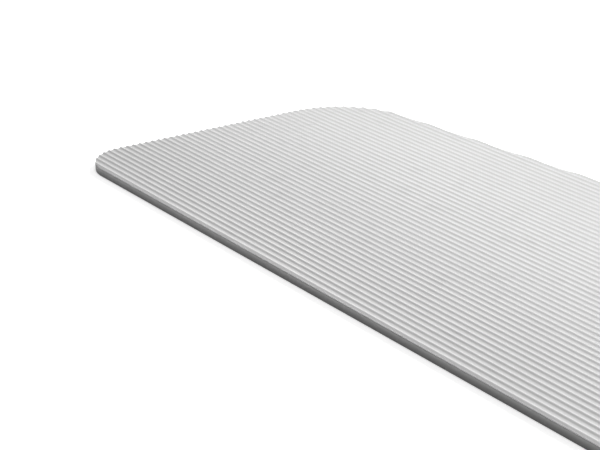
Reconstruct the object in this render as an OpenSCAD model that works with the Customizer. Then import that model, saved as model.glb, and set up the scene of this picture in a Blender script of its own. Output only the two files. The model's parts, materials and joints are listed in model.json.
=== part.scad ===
// Diving board: a glass-skinned timber plank with a ribbed tread bonded on top.
//
// +X points to the tip, +Y to the diver's left and +Z up. The origin lies on the underside,
// midway between the two anchor bolts. Lengths are in millimetres.

/* [Board outline] */
// Length from butt to tip
board_length = 2440; // [1830:10:3660]
// Full width
board_width = 508; // [400:1:620]
// How much narrower the board is at the tip, all of it taken off the right side
nose_narrowing = 60; // [20:1:90]
// Distance from the tip over which the right side slants
flare_length = 572; // [400:1:700]
// Radius that blends the slanted stretch into the straight side
flare_blend_r = 1700; // [600:10:2400]
// Corner radius at the tip, on the straight left side
left_nose_r = 59; // [30:1:100]
// Corner radius at the tip, on the slanted right side
right_nose_r = 115; // [60:1:180]
// Corner radius at the butt
butt_r = 30; // [15:1:60]

/* [Layers] */
// Thickness of the glass-fibre skin under the core
bottom_skin_t = 1.2; // [0.8:0.1:3]
// Thickness of the timber core
core_t = 8.2; // [6.4:0.1:36]
// Thickness of the glass-fibre skin over the core
top_skin_t = 1.2; // [0.8:0.1:3]
// Width of the edge moulding around the core and skins
moulding_w = 8; // [5:0.5:14]

/* [Tread] */
// Distance from rib to rib
rib_pitch = 9.8; // [7:0.1:14]
// Height of the ribs above the mat's base
rib_h = 1.5; // [1:0.1:1.8]
// Radius of the ribs' rounded crests
rib_crest_r = 2.3; // [1.8:0.1:3.2]
// Thickness of the mat under the ribs
tread_base_t = 1.2; // [0.8:0.1:3]
// From the left side to the first rib's crest
first_rib = 4.2; // [2:0.1:7]
// How far the mat's edge stands back from the moulding's face
tread_setback = 0.5; // [0:0.1:2]

/* [Core] */
// Number of timber stringers side by side
stringer_count = 10; // [6:1:14]
// Length of the cross-grained block at the tip
nose_block_l = 150; // [120:1:240]
// Length of the cross-grained block at the butt
butt_block_l = 150; // [130:1:240]

/* [Anchor bolts] */
// From the butt to the line of the bolts
bolt_setback = 76; // [70:1:120]
// Distance between the two bolts
bolt_spacing = 254; // [200:1:300]
// Diameter of the bolt holes
bolt_hole_d = 14.3; // [10:0.1:18]
// Wall of the sleeves that line the bolt holes
sleeve_wall = 2.85; // [2:0.05:4]
// Length of the anchor plate along the board
plate_l = 110; // [90:1:130]
// Margin of the anchor plate beyond each bolt
plate_margin = 53; // [35:1:60]
// Thickness of the anchor plate
plate_t = 2.4; // [2:0.1:4]
// Corner radius of the anchor plate
plate_r = 12; // [5:1:20]
// Thickness of the rubber gasket under the anchor plate
gasket_t = 0.8; // [0.5:0.1:1]
// Diameter of the plate screws' shanks
screw_d = 5; // [4:0.1:6]
// Diameter of the plate screws' heads
screw_head_d = 9.2; // [8:0.1:11]
// From the plate's edges to its screws
screw_inset = 14; // [12:1:20]

/* [Underside] */
// From the anchor bolts to the middle of the fulcrum strip
fulcrum_x = 900; // [600:10:1200]
// Length of the rubber fulcrum strip along the board
fulcrum_strip_l = 150; // [80:1:250]
// Length of the laminate doubler over the fulcrum
doubler_l = 500; // [300:10:700]
// Thickness of that doubler
doubler_t = 1; // [0.6:0.1:2]
// Margin from the moulding to the rubber strip and pad
rubber_margin = 22; // [10:1:60]

/* [Fits] */
// Clearance around whatever is let into a hole or window
fit_gap = 0.1; // [0.05:0.05:0.3]
// Clear space between the end of the mat and the anchor plate
plate_clear = 15; // [8:1:40]

/* [Hidden] */
x_butt = -bolt_setback;
x_tip = board_length - bolt_setback;
y_left = board_width / 2;
y_right = -board_width / 2;

// Heights of the layers
z_core = bottom_skin_t;
z_top_skin = z_core + core_t;
z_tread = z_top_skin + top_skin_t;
z_ribs = z_tread + tread_base_t;
z_crest = z_ribs + rib_h;
z_plate = z_tread + gasket_t;

// The right side's slant, and the centres of the outline's arcs
slant = atan(nose_narrowing / flare_length);
flare_chords = 24;
right_nose = [x_tip - right_nose_r,
              y_right + nose_narrowing + right_nose_r * (1 - sin(slant)) / cos(slant)];
left_nose = [x_tip - left_nose_r, y_left - left_nose_r];
flare_arc = [x_tip - flare_length - flare_blend_r * tan(slant / 2), y_right + flare_blend_r];
butt_left = [x_butt + butt_r, y_left - butt_r];
butt_right = [x_butt + butt_r, y_right + butt_r];

// The plank between the mouldings
inner_w = board_width - 2 * moulding_w;
stringer_w = inner_w / stringer_count;
x_butt_block = x_butt + butt_block_l;
x_nose_block = x_tip - nose_block_l;
moulding_joint_x = x_butt + butt_r + moulding_w;

// The tread
first_rib_y = y_left - first_rib;
rib_count = ceil((board_width - first_rib) / rib_pitch) + 1;
x_tread = plate_l / 2 + plate_clear;

// The anchorage
sleeve_d = bolt_hole_d + 2 * sleeve_wall;
bolt_ys = [-bolt_spacing / 2, bolt_spacing / 2];
plate_w = bolt_spacing + 2 * plate_margin;
screw_xs = [-plate_l / 2 + screw_inset, plate_l / 2 - screw_inset];
screw_ys = [-plate_w / 2 + screw_inset, plate_w / 2 - screw_inset];
screw_tip_gap = 1.2;
screw_key_d = 3.2;
screw_key_depth = 1.3;
rubber_w = inner_w - 2 * rubber_margin;

// Facets of small and large arcs, and how far a cut runs past what it cuts
fine = 64;
round_fn = 180;
over = 1;

// The direction that the right side faces where it has turned by the angle a
function facing(a) = [sin(a), -cos(a)];

// The board's outline, drawn inwards by the distance d. The polygon steps in to the centre of
// each corner's arc, where a disc fills it, and follows the long flare arc in short chords.
module outline(d) {
    polygon(concat(
        [[x_butt + d, butt_right.y], butt_right, [butt_right.x, y_right + d]],
        [for (i = [0:flare_chords]) flare_arc + (flare_blend_r - d) * facing(i * slant / flare_chords)],
        [right_nose + (right_nose_r - d) * facing(slant), right_nose, [x_tip - d, right_nose.y]],
        [[x_tip - d, left_nose.y], left_nose, [left_nose.x, y_left - d]],
        [[butt_left.x, y_left - d], butt_left, [x_butt + d, butt_left.y]]
    ));
    for (corner = [[butt_left, butt_r], [butt_right, butt_r],
                   [left_nose, left_nose_r], [right_nose, right_nose_r]])
        translate(corner[0])
            circle(r = corner[1] - d, $fn = round_fn);
}

// A flat layer of the outline, from the height z up by t
module layer(d, z, t) {
    translate([0, 0, z])
        linear_extrude(t)
            outline(d);
}

// A block across the whole width, from x0 to x1
module span(x0, x1, z, t) {
    translate([x0, y_right - over, z])
        cube([x1 - x0, board_width + 2 * over, t]);
}

// A rectangle l by w around the origin with corners of radius r
module rounded_plate(l, w, r, t) {
    linear_extrude(t) {
        square([l - 2 * r, w], center = true);
        square([l, w - 2 * r], center = true);
        for (x = [-l / 2 + r, l / 2 - r], y = [-w / 2 + r, w / 2 - r])
            translate([x, y])
                circle(r = r, $fn = fine);
    }
}

// Cylinders on the two anchor bolts' axes
module at_bolts(d, z, h) {
    for (y = bolt_ys)
        translate([0, y, z])
            cylinder(d = d, h = h, $fn = fine);
}

// Cylinders on the four plate screws' axes
module at_screws(d, z, h) {
    for (x = screw_xs, y = screw_ys)
        translate([x, y, z])
            cylinder(d = d, h = h, $fn = fine);
}

// The mat's cross-section: a flat base with rounded ribs side by side
module rib_section() {
    intersection() {
        translate([y_right, z_tread])
            square([board_width, z_crest - z_tread]);
        union() {
            translate([y_right, z_tread])
                square([board_width, tread_base_t]);
            for (i = [0:rib_count - 1])
                translate([first_rib_y - i * rib_pitch, z_crest - rib_crest_r])
                    circle(r = rib_crest_r, $fn = fine);
        }
    }
}

module tread_mat() {
    color([0.84, 0.85, 0.86])
        intersection() {
            layer(tread_setback, z_tread - over, z_crest - z_tread + 2 * over);
            translate([x_tread, 0, 0])
                rotate([90, 0, 90])
                    linear_extrude(x_tip - x_tread)
                        rib_section();
        }
}

module top_skin() {
    color([0.90, 0.90, 0.88])
        difference() {
            layer(moulding_w, z_top_skin, top_skin_t);
            at_bolts(sleeve_d + 2 * fit_gap, z_top_skin - over, top_skin_t + 2 * over);
            at_screws(screw_d + 2 * fit_gap, z_top_skin - over, top_skin_t + 2 * over);
        }
}

module bottom_skin() {
    color([0.86, 0.86, 0.83])
        difference() {
            layer(moulding_w, 0, bottom_skin_t);
            translate([0, 0, -over])
                rounded_plate(plate_l + 2 * fit_gap, rubber_w + 2 * fit_gap, plate_r,
                              bottom_skin_t + 2 * over);
            translate([fulcrum_x, 0, -over])
                rounded_plate(fulcrum_strip_l + 2 * fit_gap, rubber_w + 2 * fit_gap, plate_r,
                              bottom_skin_t + 2 * over);
        }
}

// The moulding's whole ring, from which its three lengths are cut
module moulding_ring() {
    difference() {
        layer(0, 0, z_tread);
        layer(moulding_w, -over, z_tread + 2 * over);
    }
}

module side_moulding(y0) {
    color([0.33, 0.34, 0.35])
        intersection() {
            moulding_ring();
            translate([moulding_joint_x, y0, -over])
                cube([board_length, board_width / 2, z_tread + 2 * over]);
        }
}

module left_edge_moulding() {
    side_moulding(0);
}

module right_edge_moulding() {
    side_moulding(y_right);
}

module butt_moulding() {
    color([0.33, 0.34, 0.35])
        intersection() {
            moulding_ring();
            span(x_butt - over, moulding_joint_x, -over, z_tread + 2 * over);
        }
}

module nose_block() {
    color([0.76, 0.60, 0.40])
        intersection() {
            layer(moulding_w, z_core, core_t);
            span(x_nose_block, x_tip, z_core - over, core_t + 2 * over);
        }
}

module butt_block() {
    color([0.72, 0.56, 0.37])
        difference() {
            intersection() {
                layer(moulding_w, z_core, core_t);
                span(x_butt, x_butt_block, z_core - over, core_t + 2 * over);
            }
            at_bolts(sleeve_d + 2 * fit_gap, z_core - over, core_t + 2 * over);
            at_screws(screw_d + 2 * fit_gap, z_core + screw_tip_gap, core_t);
        }
}

// One timber of the core, counted from the left side
module stringer(i) {
    y0 = y_left - moulding_w - i * stringer_w;
    shade = 0.04 * (i % 2);
    color([0.80 - shade, 0.66 - shade, 0.46 - shade])
        difference() {
            intersection() {
                layer(moulding_w, z_core, core_t);
                translate([x_butt_block, y0, z_core])
                    cube([x_nose_block - x_butt_block, stringer_w, core_t]);
            }
            span(fulcrum_x - doubler_l / 2, fulcrum_x + doubler_l / 2, z_core - over,
                 doubler_t + over);
        }
}

module fulcrum_doubler() {
    color([0.62, 0.68, 0.58])
        translate([fulcrum_x - doubler_l / 2, -inner_w / 2, z_core])
            cube([doubler_l, inner_w, doubler_t]);
}

module fulcrum_strip() {
    color([0.12, 0.12, 0.13])
        translate([fulcrum_x, 0, 0])
            rounded_plate(fulcrum_strip_l, rubber_w, plate_r, bottom_skin_t);
}

module butt_pad() {
    color([0.12, 0.12, 0.13])
        difference() {
            rounded_plate(plate_l, rubber_w, plate_r, bottom_skin_t);
            at_bolts(sleeve_d + 2 * fit_gap, -over, bottom_skin_t + 2 * over);
        }
}

module bolt_sleeves() {
    color([0.75, 0.76, 0.78])
        difference() {
            at_bolts(sleeve_d, 0, z_tread);
            at_bolts(bolt_hole_d, -over, z_tread + 2 * over);
        }
}

module plate_gasket() {
    color([0.10, 0.10, 0.11])
        translate([0, 0, z_tread])
            difference() {
                rounded_plate(plate_l, plate_w, plate_r, gasket_t);
                at_bolts(bolt_hole_d, -over, gasket_t + 2 * over);
                at_screws(screw_d + 2 * fit_gap, -over, gasket_t + 2 * over);
            }
}

module anchor_plate() {
    color([0.78, 0.79, 0.80])
        translate([0, 0, z_plate])
            difference() {
                rounded_plate(plate_l, plate_w, plate_r, plate_t);
                at_bolts(bolt_hole_d, -over, plate_t + 2 * over);
                for (x = screw_xs, y = screw_ys)
                    translate([x, y, 0])
                        cylinder(d1 = screw_d + 2 * fit_gap, d2 = screw_head_d + 2 * fit_gap,
                                 h = plate_t, $fn = fine);
            }
}

module plate_screws() {
    shank_z = z_core + screw_tip_gap;
    color([0.70, 0.71, 0.73])
        difference() {
            union() {
                at_screws(screw_d, shank_z, z_plate - shank_z);
                for (x = screw_xs, y = screw_ys)
                    translate([x, y, z_plate])
                        cylinder(d1 = screw_d, d2 = screw_head_d, h = plate_t, $fn = fine);
            }
            for (x = screw_xs, y = screw_ys)
                translate([x, y, z_plate + plate_t - screw_key_depth])
                    cylinder(d = screw_key_d, h = screw_key_depth + over, $fn = 6);
        }
}

tread_mat();
top_skin();
bottom_skin();
left_edge_moulding();
right_edge_moulding();
butt_moulding();
nose_block();
butt_block();
for (i = [1:stringer_count])
    stringer(i);
fulcrum_doubler();
fulcrum_strip();
butt_pad();
bolt_sleeves();
plate_gasket();
anchor_plate();
plate_screws();
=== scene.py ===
"""A diving board lying on a pale floor, seen from beside its butt, low along the tread.

The tread mat, the edge mouldings and the fulcrum strip are numpy surfaces that stand for their
CAD nodes, the fittings are softened copies of theirs, and everything has a procedural finish.
Lengths are in metres: +X points to the tip, +Y to the diver's left and +Z up.
"""

import json
import math

import bmesh
import bpy
import numpy as np
from mathutils import Matrix, Vector


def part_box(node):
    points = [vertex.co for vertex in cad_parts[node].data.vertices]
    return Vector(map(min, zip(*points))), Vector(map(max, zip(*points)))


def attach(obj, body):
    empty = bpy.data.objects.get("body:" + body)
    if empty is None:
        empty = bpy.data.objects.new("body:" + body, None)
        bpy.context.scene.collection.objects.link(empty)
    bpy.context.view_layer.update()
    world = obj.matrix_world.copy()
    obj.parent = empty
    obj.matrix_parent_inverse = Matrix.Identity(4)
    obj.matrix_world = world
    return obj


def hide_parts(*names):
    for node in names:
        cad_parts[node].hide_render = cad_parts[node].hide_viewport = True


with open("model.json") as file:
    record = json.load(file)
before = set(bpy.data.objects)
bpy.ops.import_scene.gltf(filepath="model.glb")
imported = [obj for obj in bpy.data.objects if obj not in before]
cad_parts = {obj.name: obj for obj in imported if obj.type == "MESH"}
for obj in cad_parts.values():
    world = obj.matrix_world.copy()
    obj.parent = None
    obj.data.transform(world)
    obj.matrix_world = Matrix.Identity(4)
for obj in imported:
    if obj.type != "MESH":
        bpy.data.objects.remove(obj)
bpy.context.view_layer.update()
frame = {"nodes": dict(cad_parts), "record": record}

MM = 0.001

# Places that come from the frame
tread_low, tread_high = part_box("tread_mat")
side_low, side_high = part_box("left_edge_moulding")
TIP = side_high.x
HALF_WIDTH = side_high.y
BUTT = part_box("butt_moulding")[0].x
MOULDING_JOINT = side_low.x
MOULDING_TOP = side_high.z
MOULDING_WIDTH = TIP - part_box("nose_block")[1].x
SETBACK = TIP - tread_high.x
CREST = tread_high.z
TREAD_BACK = tread_low.z

# The outline, as the design draws it
NOSE_NARROWING = 60 * MM
FLARE_LENGTH = 572 * MM
FLARE_RADIUS = 1700 * MM
LEFT_NOSE_RADIUS = 59 * MM
RIGHT_NOSE_RADIUS = 115 * MM
BUTT_RADIUS = 30 * MM

# The tread's ribs
RIB_PITCH = 9.8 * MM
RIB_HEIGHT = 1.5 * MM
FIRST_RIB = 4.2 * MM
VALLEY = CREST - RIB_HEIGHT

# How the tread is meshed: lines to each rib, the rounding of its rim, and where the first lines
# past that rounding lie
LINES_PER_RIB = 14
RIM_RADIUS = 0.25 * MM
PAST_RIM = np.array([2.4, 4, 9]) * MM
CROSS_LINES = 26

# Faces that meet at more than this keep a crisp edge between them
SHARP = math.radians(35)


# --- The outline -----------------------------------------------------------------------------

SLANT = math.atan2(NOSE_NARROWING, FLARE_LENGTH)


def facing(angle):
    """The unit vector that points that far round from -Y towards +X."""
    return np.array([math.sin(angle), -math.cos(angle)])


SLANT_FACING = facing(SLANT)
FLARE_CORNER = np.array([TIP - FLARE_LENGTH, -HALF_WIDTH])
FLARE_CENTRE = np.array([
    FLARE_CORNER[0] - FLARE_RADIUS * math.tan(SLANT / 2),
    FLARE_RADIUS - HALF_WIDTH,
])
LEFT_NOSE_CENTRE = np.array([TIP - LEFT_NOSE_RADIUS, HALF_WIDTH - LEFT_NOSE_RADIUS])
RIGHT_NOSE_CENTRE = np.array([
    TIP - RIGHT_NOSE_RADIUS,
    NOSE_NARROWING - HALF_WIDTH + RIGHT_NOSE_RADIUS * (1 - math.sin(SLANT)) / math.cos(SLANT),
])

# Each rounded corner: its centre, its radius, and the facings of the two sides that it joins
CORNERS = (
    (LEFT_NOSE_CENTRE, LEFT_NOSE_RADIUS, np.array([1.0, 0.0]), np.array([0.0, 1.0])),
    (RIGHT_NOSE_CENTRE, RIGHT_NOSE_RADIUS, SLANT_FACING, np.array([1.0, 0.0])),
    (FLARE_CENTRE, FLARE_RADIUS, facing(0), SLANT_FACING),
)


def edge_distance(x, y):
    """How far inside the outline a point lies.

    It is the least distance to the straight sides, and near a rounded corner, where the point
    lies between the facings of the corner's two sides, the radius less the distance to its
    centre.
    """
    slanted = (y - FLARE_CORNER[1]) * math.cos(SLANT) - (x - FLARE_CORNER[0]) * math.sin(SLANT)
    inside = np.minimum.reduce([HALF_WIDTH - y, TIP - x, HALF_WIDTH + y, slanted])
    for centre, radius, start, end in CORNERS:
        dx, dy = x - centre[0], y - centre[1]
        area = start[0] * end[1] - start[1] * end[0]
        along_start = (dx * end[1] - dy * end[0]) / area
        along_end = (start[0] * dy - start[1] * dx) / area
        round_here = (along_start > 0) & (along_end > 0)
        inside = np.where(round_here, radius - np.hypot(dx, dy), inside)
    return inside


def tip_end(y, inset, halvings=40):
    """The largest x on each line of constant y that lies inset inside the outline, by halving."""
    near = np.full_like(y, FLARE_CENTRE[0])
    far = np.full_like(y, TIP)
    for _ in range(halvings):
        middle = (near + far) / 2
        within = edge_distance(middle, y) >= inset - 1e-9
        near = np.where(within, middle, near)
        far = np.where(within, far, middle)
    return near


def straight(start, end, facing_out, step=0.08):
    """Points and outward facings along a straight side, a step or less apart."""
    start, end = np.asarray(start, float), np.asarray(end, float)
    count = max(2, int(np.linalg.norm(end - start) / step) + 1)
    t = np.linspace(0, 1, count)[:, None]
    return start + (end - start) * t, np.repeat([facing_out], count, axis=0)


def rounded(centre, radius, start_deg, end_deg, step_deg=2.0):
    """Points and outward facings along an arc, a step or less apart."""
    count = max(9, int(abs(end_deg - start_deg) / step_deg) + 1)
    angle = np.radians(np.linspace(start_deg, end_deg, count))
    out = np.stack([np.cos(angle), np.sin(angle)], axis=1)
    return centre + radius * out, out


def route(*stretches):
    """The stretches' points and facings in one line, with doubled points left out."""
    points = np.concatenate([s[0] for s in stretches])
    facings = np.concatenate([s[1] for s in stretches])
    fresh = np.append(True, np.linalg.norm(np.diff(points, axis=0), axis=1) > 1e-7)
    return points[fresh], facings[fresh]


# --- Meshes ----------------------------------------------------------------------------------


def add_piece(name, verts, faces, material, uv=None):
    """A mesh object of closed faces, turned outwards where its volume comes out negative.

    uv, where given, has one pair of numbers for each vertex.
    """
    mesh = bpy.data.meshes.new(name)
    mesh.from_pydata(verts.tolist(), [], faces)
    work = bmesh.new()
    work.from_mesh(mesh)
    if work.calc_volume(signed=True) < 0:
        bmesh.ops.reverse_faces(work, faces=work.faces)
    work.to_mesh(mesh)
    work.free()
    if uv is not None:
        corner_vertex = np.zeros(len(mesh.loops), np.int32)
        mesh.loops.foreach_get("vertex_index", corner_vertex)
        layer = mesh.uv_layers.new(name="length_and_girth")
        layer.data.foreach_set("uv", uv[corner_vertex].astype(np.float32).ravel())
    mesh.polygons.foreach_set("use_smooth", np.ones(len(mesh.polygons), bool))
    mesh.set_sharp_from_angle(angle=SHARP)
    mesh.materials.append(material)
    piece = bpy.data.objects.new(name, mesh)
    bpy.context.scene.collection.objects.link(piece)
    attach(piece, "root")
    return piece


def loft_faces(rings, girth):
    """Quads between closed rings that follow each other, and a cap over each end."""
    index = np.arange(rings * girth).reshape(rings, girth)
    after = np.roll(index, -1, axis=1)
    quads = np.stack([index[:-1], after[:-1], after[1:], index[1:]], axis=-1)
    return quads.reshape(-1, 4).tolist() + [index[0].tolist()[::-1], index[-1].tolist()]


def fillet_drop(distance, radius):
    """How far a face falls near its rim: a quarter circle over the last radius of distance."""
    reach = np.clip(radius - distance, 0, radius)
    return radius - np.sqrt(np.maximum(radius**2 - reach**2, 0))


def fillet_steps(radius, count=6):
    """Distances from a rim at which a fillet turns by equal angles."""
    return radius * (1 - np.cos(np.linspace(0, math.pi / 2, count + 1)))


def sheet_mesh(rows, x, z, back):
    """A sheet with a shaped face z over the grid of rows by x, and a flat back.

    Each row is one closed ring, along the face and home along the back; the rings are lofted.
    """
    count = len(rows)
    y = np.repeat(rows[:, None], x.shape[1], axis=1)
    face = np.stack([x, y, z], axis=-1)
    ends = face[:, [-1, 0]].copy()
    ends[..., 2] = back
    rings = np.concatenate([face, ends], axis=1)
    return rings.reshape(-1, 3), loft_faces(count, rings.shape[1])


def carried_profile(points, facings, profile):
    """A closed profile of (outwards, up) pairs, carried along a level route.

    Returns the vertices, the faces, and each vertex's distance along the route and round the
    profile.
    """
    out = points[:, None, :] + profile[None, :, :1] * facings[:, None, :]
    up = np.repeat(profile[None, :, 1:], len(points), axis=0)
    verts = np.concatenate([out, up], axis=-1)
    along = np.append(0, np.cumsum(np.linalg.norm(np.diff(points, axis=0), axis=1)))
    girth = np.append(0, np.cumsum(np.linalg.norm(np.diff(profile, axis=0), axis=1)))
    uv = np.stack(np.meshgrid(along, girth, indexing="ij"), axis=-1)
    faces = loft_faces(len(points), len(profile))
    return verts.reshape(-1, 3), faces, uv.reshape(-1, 2)


def softened(node, material, width):
    """A copy of a CAD node with its edges rounded over that width, which stands for the node.

    The CAD's triangles are first joined into the flat faces that they make up.
    """
    mesh = frame["nodes"][node].data.copy()
    mesh.name = "soft_" + node
    work = bmesh.new()
    work.from_mesh(mesh)
    bmesh.ops.remove_doubles(work, verts=work.verts, dist=1e-6)
    bmesh.ops.dissolve_limit(
        work, angle_limit=math.radians(1), verts=work.verts, edges=work.edges
    )
    for edge in work.edges:
        edge.smooth = True
    work.to_mesh(mesh)
    work.free()
    mesh.materials.clear()
    mesh.materials.append(material)
    mesh.polygons.foreach_set("use_smooth", np.ones(len(mesh.polygons), bool))
    piece = bpy.data.objects.new("soft_" + node, mesh)
    bpy.context.scene.collection.objects.link(piece)
    bevel = piece.modifiers.new("rounded_edges", "BEVEL")
    bevel.width = width
    bevel.segments = 2
    bevel.limit_method = "ANGLE"
    bevel.angle_limit = SHARP
    bevel.use_clamp_overlap = True
    bevel.harden_normals = True
    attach(piece, "root")
    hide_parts(node)
    return piece


# --- Finishes --------------------------------------------------------------------------------


class Value:
    """A number that varies over a surface. Arithmetic on it adds Math nodes."""

    def __init__(self, finish, socket):
        self.finish = finish
        self.socket = socket

    def _math(self, operation, *terms, clamp=False):
        settings = {"operation": operation, "use_clamp": clamp}
        return self.finish.node("ShaderNodeMath", settings, dict(enumerate(terms)))

    def __add__(self, other):
        return self._math("ADD", self, other)

    __radd__ = __add__

    def __sub__(self, other):
        return self._math("SUBTRACT", self, other)

    def __rsub__(self, other):
        return self._math("SUBTRACT", other, self)

    def __mul__(self, other):
        return self._math("MULTIPLY", self, other)

    __rmul__ = __mul__

    def clamped(self):
        """The same number, kept from 0 to 1."""
        return self._math("ADD", self, 0.0, clamp=True)

    def between(self, low, high):
        """0 below low, 1 above high, and a smooth rise from one to the other."""
        return self.finish.node(
            "ShaderNodeMapRange",
            {"interpolation_type": "SMOOTHSTEP"},
            {"Value": self, "From Min": low, "From Max": high},
        )


class Finish:
    """One material: a Principled shader, with helpers that add the nodes that feed it."""

    def __init__(self, name, **constants):
        self.material = bpy.data.materials.new(name)
        self.material.use_nodes = True
        self.tree = self.material.node_tree
        self.shader = self.tree.nodes["Principled BSDF"]
        for socket, value in constants.items():
            self.shader.inputs[socket.replace("_", " ")].default_value = value
        self.place = self.node("ShaderNodeTexCoord", output="Object")

    def node(self, kind, settings=(), inputs=(), output=0):
        """Adds a node: its settings first, then values or links for its sockets."""
        node = self.tree.nodes.new(kind)
        for key, value in dict(settings).items():
            setattr(node, key, value)
        for key, value in dict(inputs).items():
            if isinstance(value, Value):
                self.tree.links.new(value.socket, node.inputs[key])
            else:
                node.inputs[key].default_value = value
        return Value(self, node.outputs[output])

    def noise(self, scale, detail=3.0, stretch=(1, 1, 1), shift=(0, 0, 0), place=None):
        """Noise from about 0 to 1, drawn out along an axis where stretch is small there."""
        spot = self.node(
            "ShaderNodeMapping",
            {},
            {"Vector": place or self.place, "Scale": stretch, "Location": shift},
        )
        return self.node(
            "ShaderNodeTexNoise", {}, {"Vector": spot, "Scale": scale, "Detail": detail}
        )

    def speckle(self, scale):
        """Distance to the nearest of a scatter of points, in cells."""
        return self.node("ShaderNodeTexVoronoi", {}, {"Vector": self.place, "Scale": scale})

    def threads(self, direction, scale, distortion=0.0, detail=2.0):
        """Even bands that follow each other along X or Y, like one set of threads in a cloth."""
        return self.node(
            "ShaderNodeTexWave",
            {"bands_direction": direction},
            {
                "Vector": self.place,
                "Scale": scale,
                "Distortion": distortion,
                "Detail": detail,
            },
        )

    def part(self, axis):
        """The X, Y or Z of a point on the piece."""
        return self.node("ShaderNodeSeparateXYZ", {}, {"Vector": self.place}, output=axis)

    def blend(self, low, high, factor):
        """A colour from low to high as factor goes from 0 to 1. Either may be a colour value."""
        colours = {
            6: low if isinstance(low, Value) else (*low, 1.0),
            7: high if isinstance(high, Value) else (*high, 1.0),
        }
        return self.node(
            "ShaderNodeMix", {"data_type": "RGBA"}, {0: factor, **colours}, output=2
        )

    def feed(self, **sockets):
        """Links values to the shader's own sockets."""
        for socket, value in sockets.items():
            self.tree.links.new(value.socket, self.shader.inputs[socket.replace("_", " ")])

    def relief(self, height, depth):
        """Bumps the surface: height from 0 to 1 stands for depth metres."""
        bump = self.node("ShaderNodeBump", {}, {"Height": height, "Distance": depth})
        self.feed(Normal=bump)


def tread_finish():
    """Moulded light grey rubber: fine grain, faint streaks along the ribs, and painted light that
    makes the rib tops paler and the valleys darker.
    """
    finish = Finish("tread_rubber", Specular_IOR_Level=0.35)
    grain = finish.noise(2600, 4)
    pores = finish.speckle(1500).between(0.05, 0.35)
    streaks = finish.noise(1.0, 3, stretch=(3, 420, 420))
    cloud = finish.noise(5, 3)
    scuff = finish.noise(30, 5, shift=(3, 1, 0)).between(0.56, 0.72)
    # Painted light and shade: the colour is paler on the rib tops and darker down in the valleys
    crest_mask_for_painted_light = finish.part("Z").between(VALLEY, CREST)
    tone = (
        0.20 * crest_mask_for_painted_light + 0.16 * cloud + 0.12 * streaks + 0.22 * grain + 0.14 * pores - 0.10 * scuff
    )
    finish.feed(
        Base_Color=finish.blend((0.364, 0.363, 0.363), (0.566, 0.564, 0.564), tone.clamped()),
        Roughness=0.46 + 0.16 * grain + 0.08 * scuff + 0.08 * (1 - crest_mask_for_painted_light),
    )
    finish.relief(0.55 * grain + 0.2 * streaks + 0.25 * pores, 0.08 * MM)
    return finish.material


def moulding_finish():
    """Extruded grey edging: drawn lines along its length, scuffed low down, and painted shade that
    darkens it steeply towards its foot on the floor.
    """
    finish = Finish("edge_moulding", Specular_IOR_Level=0.4)
    along = finish.node("ShaderNodeUVMap", {"uv_map": "length_and_girth"})
    lines = finish.noise(1.0, 3, stretch=(2.5, 2600, 1), place=along)
    grain = finish.noise(1800, 3)
    cloud = finish.noise(7, 3)
    # Painted shade: from the top down to the foot the colour falls from dark grey to near black,
    # for the shade where the edging meets the floor
    height = finish.part("Z").between(0.1 * MOULDING_TOP, 1.25 * MOULDING_TOP)
    scuff = finish.noise(90, 6).between(0.60, 0.74) * (1 - height)
    tone = 0.85 * height + 0.10 * lines + 0.08 * grain + 0.10 * cloud + 0.3 * scuff
    finish.feed(
        Base_Color=finish.blend((0.03, 0.03, 0.03), (0.20, 0.199, 0.198), tone.clamped()),
        Roughness=0.44 + 0.14 * lines + 0.16 * scuff,
    )
    finish.relief(0.6 * lines + 0.4 * grain, 0.05 * MM)
    return finish.material


def gelcoat_finish(name, low, high):
    """Glass-fibre skin under gelcoat: a faint weave that prints through, and orange peel."""
    finish = Finish(name, Specular_IOR_Level=0.4, Coat_Roughness=0.3)
    warp = finish.threads("X", 38, distortion=0.6, detail=1)
    weft = finish.threads("Y", 38, distortion=0.6, detail=1)
    peel = finish.noise(320, 2)
    cloud = finish.noise(6, 4)
    specks = finish.noise(900, 4).between(0.62, 0.74)
    wear = finish.noise(24, 6, stretch=(0.6, 1.4, 1)).between(0.55, 0.75)
    weave = warp * weft
    tone = 0.55 * cloud + 0.12 * weave + 0.25 * peel - 0.18 * specks - 0.12 * wear
    finish.feed(
        Base_Color=finish.blend(low, high, tone.clamped()),
        Roughness=0.42 + 0.12 * peel + 0.18 * wear,
        Coat_Weight=0.22 - 0.18 * wear,
    )
    finish.relief(0.7 * peel + 0.3 * weave, 0.12 * MM)
    return finish.material


def timber_finish(name, pale, dark, grain_along=(1.2, 70, 70), shift=0.0):
    """Planed timber: growth bands and fine pores, both drawn out along the grain."""
    finish = Finish(name, Specular_IOR_Level=0.3)
    heart = finish.node(
        "ShaderNodeMapping",
        {},
        {"Vector": finish.place, "Scale": (0.35, 1, 1), "Location": (shift, 0.02, 0.03)},
    )
    bands = finish.node(
        "ShaderNodeTexWave",
        {"wave_type": "RINGS", "rings_direction": "X"},
        {"Vector": heart, "Scale": 55, "Distortion": 3, "Detail": 3, "Detail Scale": 1.5},
    )
    fibres = finish.noise(8, 4, stretch=grain_along, shift=(shift, 0, 0))
    pores = finish.noise(30, 3, stretch=grain_along).between(0.6, 0.7)
    tone = 0.5 * bands + 0.45 * fibres + 0.2 * pores
    finish.feed(
        Base_Color=finish.blend(pale, dark, tone.clamped()),
        Roughness=0.5 + 0.2 * fibres,
    )
    finish.relief(0.6 * fibres + 0.4 * pores, 0.1 * MM)
    return finish.material


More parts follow.
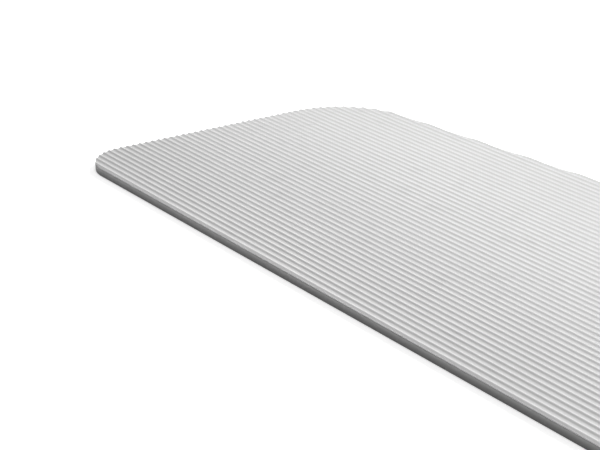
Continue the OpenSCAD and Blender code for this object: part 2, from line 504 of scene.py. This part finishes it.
def laminate_finish():
    """Cured woven glass: crossed tows that show greenish through the resin."""
    finish = Finish("glass_laminate", Specular_IOR_Level=0.5)
    warp = finish.threads("X", 80)
    weft = finish.threads("Y", 80)
    weave = 0.5 * warp + 0.5 * weft
    cloud = finish.noise(20, 4)
    tone = 0.6 * weave + 0.4 * cloud
    finish.feed(
        Base_Color=finish.blend((0.30, 0.35, 0.24), (0.58, 0.62, 0.48), tone.clamped()),
        Roughness=0.25 + 0.2 * cloud,
    )
    finish.relief(weave, 0.15 * MM)
    return finish.material


def rubber_finish():
    """Black rubber with a bloom of chalky dust and a fine moulded grain."""
    finish = Finish("black_rubber", Specular_IOR_Level=0.35)
    grain = finish.noise(1600, 4)
    bloom = finish.noise(26, 5).between(0.42, 0.75)
    cloud = finish.noise(8, 3)
    tone = 0.35 * bloom + 0.3 * grain + 0.2 * cloud
    finish.feed(
        Base_Color=finish.blend((0.012, 0.012, 0.013), (0.085, 0.085, 0.088), tone.clamped()),
        Roughness=0.55 + 0.2 * bloom + 0.1 * grain,
    )
    finish.relief(grain, 0.12 * MM)
    return finish.material


def steel_finish(name, stretch, low, high, rough=0.54):
    """Stainless steel, brushed one way: fine lines, a few cross scratches, dull water marks."""
    finish = Finish(name, Metallic=1.0)
    lines = finish.noise(60, 4, stretch=stretch)
    fine_lines = finish.noise(240, 2, stretch=stretch)
    scratches = finish.noise(35, 5, stretch=(stretch[1], stretch[0], 1)).between(0.64, 0.70)
    marks = finish.noise(45, 5).between(0.5, 0.7)
    tone = 0.45 * lines + 0.35 * fine_lines + 0.2 * scratches - 0.2 * marks
    finish.feed(
        Base_Color=finish.blend(low, high, tone.clamped()),
        Roughness=rough + 0.16 * lines + 0.14 * marks,
    )
    finish.relief(0.5 * lines + 0.3 * fine_lines + 0.2 * scratches, 0.03 * MM)
    return finish.material


def floor_finish():
    """A plain white light table, which glows a little from below."""
    finish = Finish(
        "white_floor", Specular_IOR_Level=0.0, Roughness=1.0,
        Emission_Color=(1, 1, 1, 1), Emission_Strength=0.53,
    )
    fibre = finish.noise(300, 3)
    finish.feed(Base_Color=finish.blend((0.93, 0.93, 0.93), (0.95, 0.95, 0.95), fibre))
    return finish.material


# --- The board's pieces ----------------------------------------------------------------------


def rib_height(y):
    """The tread's height over its base: the fourth power of a cosine, once to each pitch.

    It gives narrow round ribs with wide soft valleys between them.
    """
    return RIB_HEIGHT * np.cos(math.pi * (y - (HALF_WIDTH - FIRST_RIB)) / RIB_PITCH) ** 4


def tread_rows():
    """The y of each line of the tread's mesh: evenly spaced, and close together at the rims."""
    half = HALF_WIDTH - SETBACK
    ribs = int(2 * HALF_WIDTH / RIB_PITCH) + 2
    steps = np.arange(-LINES_PER_RIB, LINES_PER_RIB * ribs)
    rows = HALF_WIDTH - FIRST_RIB - steps * RIB_PITCH / LINES_PER_RIB
    rims = half - fillet_steps(RIM_RADIUS)
    rows = np.concatenate([rows[np.abs(rows) < half - RIM_RADIUS], rims, -rims])
    return np.unique(np.round(rows, 7))


def make_tread(material):
    """The ribbed mat, whose ribs run out over the rounded rim at the tip and the butt end.

    Each line of its mesh runs from the butt end to the outline at the tip. Where the outline
    crosses the line at a slant, the steps over the rim are longer, by the outline's length for
    each unit across, and ten times at most. The height is the base's and the rib's together,
    less the quarter circle at the rim.
    """
    rows = tread_rows()
    start = tread_low.x
    end = tip_end(rows, SETBACK)
    slant = np.gradient(end, rows)
    reach = np.minimum(np.sqrt(1 + slant**2), 10)[:, None]
    near_rim = np.append(fillet_steps(RIM_RADIUS), PAST_RIM)
    tip_x = end[:, None] - near_rim[None, ::-1] * reach
    butt_x = np.repeat(start + near_rim[None, :], len(rows), axis=0)
    share = np.linspace(0, 1, CROSS_LINES)[None, 1:-1]
    middle_x = butt_x[:, -1:] + (tip_x[:, :1] - butt_x[:, -1:]) * share
    x = np.concatenate([butt_x, middle_x, tip_x], axis=1)
    y = np.repeat(rows[:, None], x.shape[1], axis=1)
    thickness = VALLEY - TREAD_BACK + rib_height(y)
    rim = np.minimum(RIM_RADIUS, 0.7 * thickness)
    distance = np.minimum(edge_distance(x, y) - SETBACK, x - start)
    z = TREAD_BACK + thickness - fillet_drop(np.maximum(distance, 0), rim)
    verts, faces = sheet_mesh(rows, x, z, TREAD_BACK)
    piece = add_piece("ribbed_tread", verts, faces, material)
    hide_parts("tread_mat")


def moulding_profile():
    """The edging's section: square inside, and quarter circles at its two outer corners."""
    foot = 1.5 * MM
    shoulder = 0.7 * MM
    low = np.radians(np.linspace(-90, 0, 8))
    high = np.radians(np.linspace(0, 90, 6))
    outer_foot = np.stack([foot * (np.cos(low) - 1), foot * (np.sin(low) + 1)], axis=1)
    outer_top = np.stack(
        [shoulder * (np.cos(high) - 1), MOULDING_TOP + shoulder * (np.sin(high) - 1)], axis=1
    )
    inner = np.array([[-MOULDING_WIDTH, MOULDING_TOP], [-MOULDING_WIDTH, 0]])
    return np.concatenate([outer_foot, outer_top, inner])


def make_mouldings(material):
    """The three lengths of edging, each the same section carried along its part of the outline."""
    slant_deg = math.degrees(SLANT)
    left = route(
        straight((TIP, 0), (TIP, LEFT_NOSE_CENTRE[1]), (1, 0)),
        rounded(LEFT_NOSE_CENTRE, LEFT_NOSE_RADIUS, 0, 90),
        straight((LEFT_NOSE_CENTRE[0], HALF_WIDTH), (MOULDING_JOINT, HALF_WIDTH), (0, 1)),
    )
    right = route(
        straight((MOULDING_JOINT, -HALF_WIDTH), (FLARE_CENTRE[0], -HALF_WIDTH), (0, -1)),
        rounded(FLARE_CENTRE, FLARE_RADIUS, -90, slant_deg - 90, 0.25),
        rounded(RIGHT_NOSE_CENTRE, RIGHT_NOSE_RADIUS, slant_deg - 90, 0),
        straight((TIP, RIGHT_NOSE_CENTRE[1]), (TIP, 0), (1, 0)),
    )
    round_x = BUTT + BUTT_RADIUS
    round_y = HALF_WIDTH - BUTT_RADIUS
    butt = route(
        straight((MOULDING_JOINT, HALF_WIDTH), (round_x, HALF_WIDTH), (0, 1)),
        rounded(np.array([round_x, round_y]), BUTT_RADIUS, 90, 180),
        rounded(np.array([round_x, -round_y]), BUTT_RADIUS, 180, 270),
        straight((round_x, -HALF_WIDTH), (MOULDING_JOINT, -HALF_WIDTH), (0, -1)),
    )
    profile = moulding_profile()
    for name, node, (points, facings) in (
        ("left_edging", "left_edge_moulding", left),
        ("right_edging", "right_edge_moulding", right),
        ("butt_edging", "butt_moulding", butt),
    ):
        verts, faces, uv = carried_profile(points, facings, profile)
        piece = add_piece(name, verts, faces, material, uv=uv)
        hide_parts(node)


def make_fulcrum_strip(material):
    """The rubber strip under the fulcrum, with fine ribs across the board on its face.

    Its face rises between the ribs by one less the size of a cosine, to the power 1.5, and its
    corners are quarter circles.
    """
    low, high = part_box("fulcrum_strip")
    corner = 12 * MM
    pitch = 5 * MM
    depth = 0.7 * MM
    lines_per_rib = 10
    half = (high.y - low.y) / 2
    bend = fillet_steps(corner, 10)
    between_bends = np.linspace(-half + corner, half - corner, 24)
    rows = np.unique(np.concatenate([between_bends, half - bend, bend - half]))
    past_corner = np.maximum(np.abs(rows) - (half - corner), 0)
    pull_in = corner - np.sqrt(np.maximum(corner**2 - past_corner**2, 0))
    share = np.linspace(0, 1, int((high.x - low.x) / pitch) * lines_per_rib + 1)[None, :]
    start = (low.x + pull_in)[:, None]
    end = (high.x - pull_in)[:, None]
    x = start + (end - start) * share
    z = low.z + depth * (1 - np.abs(np.cos(math.pi * (x - low.x) / pitch))) ** 1.5
    verts, faces = sheet_mesh(rows, x, z, high.z)
    piece = add_piece("ribbed_fulcrum_strip", verts, faces, material)
    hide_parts("fulcrum_strip")


def make_fittings(finishes):
    """Softened copies of the skins, the plate and what goes with it."""
    for node, slot, width in (
        ("top_skin", "gelcoat_top", 0.15 * MM),
        ("bottom_skin", "gelcoat_under", 0.15 * MM),
        ("anchor_plate", "plate_steel", 0.6 * MM),
        ("plate_screws", "screw_steel", 0.2 * MM),
        ("plate_gasket", "rubber", 0.2 * MM),
        ("butt_pad", "rubber", 0.3 * MM),
        ("bolt_sleeves", "sleeve_steel", 0.4 * MM),
    ):
        softened(node, finishes[slot], width)


def dress_core(finishes):
    """Puts a finish on every CAD node, for those that no piece stands for.

    Where a slot has a list of finishes, the nodes take them in turn.
    """
    for record in frame["record"]["subparts"]:
        node, slot = record["node"], record["material_slot"]
        finish = finishes[slot]
        if isinstance(finish, list):
            finish = finish[int(node.rsplit("_", 1)[1]) % len(finish)]
        for material_slot in frame["nodes"][node].material_slots:
            material_slot.material = finish


# --- The stage -------------------------------------------------------------------------------

# Where the camera stands, counted in rib pitches from where the first rib meets the line of
# the tip, at the level of the valleys, and how it is aimed. Its lens is long, so the board
# hardly narrows with distance.
CAMERA_BACK = 223.95 * RIB_PITCH
CAMERA_ASIDE = 115.35 * RIB_PITCH
CAMERA_UP = 85.17 * RIB_PITCH
AIM_RIGHT_DEG = 34.02
AIM_DOWN_DEG = 20.905
ROLL_DEG = 0.444
SENSOR_MM = 36.0
LENS_MM = 116.0


def make_camera():
    """A camera over the left side of the butt, turned and tipped towards the tip."""
    data = bpy.data.cameras.new("camera")
    data.sensor_width = SENSOR_MM
    data.lens = LENS_MM
    data.clip_end = 100
    camera = bpy.data.objects.new("camera", data)
    bpy.context.scene.collection.objects.link(camera)
    turn, tilt = math.radians(AIM_RIGHT_DEG), math.radians(AIM_DOWN_DEG)
    level = Vector((math.cos(turn), -math.sin(turn), 0))
    right = Vector((-math.sin(turn), -math.cos(turn), 0))
    ahead = level * math.cos(tilt) - Vector((0, 0, math.sin(tilt)))
    up = right.cross(ahead)
    roll = Matrix.Rotation(math.radians(ROLL_DEG), 3, ahead)
    right, up = roll @ right, roll @ up
    spot = Vector((
        TIP - CAMERA_BACK,
        HALF_WIDTH - FIRST_RIB + CAMERA_ASIDE,
        VALLEY + CAMERA_UP,
    ))
    turned = Matrix((right, up, -ahead)).transposed()
    camera.matrix_world = Matrix.Translation(spot) @ turned.to_4x4()
    bpy.context.scene.camera = camera


def make_floor(material):
    """A level square, far larger than the board."""
    reach = 12.0
    corners = [(-reach, -reach, 0), (reach, -reach, 0), (reach, reach, 0), (-reach, reach, 0)]
    mesh = bpy.data.meshes.new("floor")
    mesh.from_pydata(corners, [], [(0, 1, 2, 3)])
    mesh.materials.append(material)
    floor = bpy.data.objects.new("floor", mesh)
    bpy.context.scene.collection.objects.link(floor)


def area_light(name, spot, target, length, width, power, spread_deg):
    """An oblong soft light at a spot, facing a target, with its length level."""
    data = bpy.data.lights.new(name, "AREA")
    data.shape = "RECTANGLE"
    data.size = length
    data.size_y = width
    data.energy = power
    data.spread = math.radians(spread_deg)
    light = bpy.data.objects.new(name, data)
    light.location = spot
    light.rotation_euler = (Vector(target) - Vector(spot)).to_track_quat("-Z", "Y").to_euler()
    bpy.context.scene.collection.objects.link(light)


def make_lights():
    """An even white surround and two soft lights, longer than the board and level with it.

    The key hangs beyond the right side, so that each rib shades the valley on its left. The
    fill hangs beyond the left side and lifts the right half of the tread.
    """
    world = bpy.data.worlds.new("surround")
    world.use_nodes = True
    background = world.node_tree.nodes["Background"]
    background.inputs["Color"].default_value = (1, 1, 1, 1)
    background.inputs["Strength"].default_value = 0.5
    bpy.context.scene.world = world
    middle = (TIP + BUTT) / 2
    area_light(
        "soft_key", (middle, -1.9, 1.9), (middle, 0.45, 0),
        length=3.3, width=1.05, power=20.2, spread_deg=40,
    )
    area_light(
        "right_fill", (middle, 1.7, 2.3), (middle, -0.25, 0),
        length=3.3, width=0.4, power=3.1, spread_deg=12,
    )


bpy.context.scene.view_settings.view_transform = "Standard"
bpy.context.scene.view_settings.look = "None"

FINISHES = {
    "tread": tread_finish(),
    "edge_moulding": moulding_finish(),
    "gelcoat_top": gelcoat_finish("gelcoat_top", (0.26, 0.26, 0.255), (0.46, 0.46, 0.45)),
    "gelcoat_under": gelcoat_finish("gelcoat_under", (0.34, 0.34, 0.33), (0.56, 0.56, 0.55)),
    "block_timber": timber_finish(
        "cross_timber", (0.50, 0.33, 0.18), (0.30, 0.17, 0.08), grain_along=(70, 1.2, 70)
    ),
    "stringer_timber": [
        timber_finish("stringer_pale", (0.62, 0.44, 0.25), (0.42, 0.26, 0.12)),
        timber_finish("stringer_warm", (0.56, 0.38, 0.20), (0.36, 0.21, 0.09), shift=1.7),
        timber_finish("stringer_dark", (0.50, 0.33, 0.17), (0.30, 0.17, 0.07), shift=3.1),
    ],
    "laminate": laminate_finish(),
    "rubber": rubber_finish(),
    "plate_steel": steel_finish(
        "brushed_plate", (1.5, 0.03, 1), (0.20, 0.205, 0.21), (0.50, 0.505, 0.51)
    ),
    "screw_steel": steel_finish(
        "turned_screws", (1, 1, 0.1), (0.16, 0.165, 0.17), (0.42, 0.425, 0.43), rough=0.36
    ),
    "sleeve_steel": steel_finish(
        "drawn_sleeves", (1, 1, 0.05), (0.38, 0.39, 0.40), (0.66, 0.67, 0.68), rough=0.3
    ),
}

make_camera()
make_tread(FINISHES["tread"])
make_mouldings(FINISHES["edge_moulding"])
make_fulcrum_strip(FINISHES["rubber"])
make_fittings(FINISHES)
dress_core(FINISHES)
make_floor(floor_finish())
make_lights()
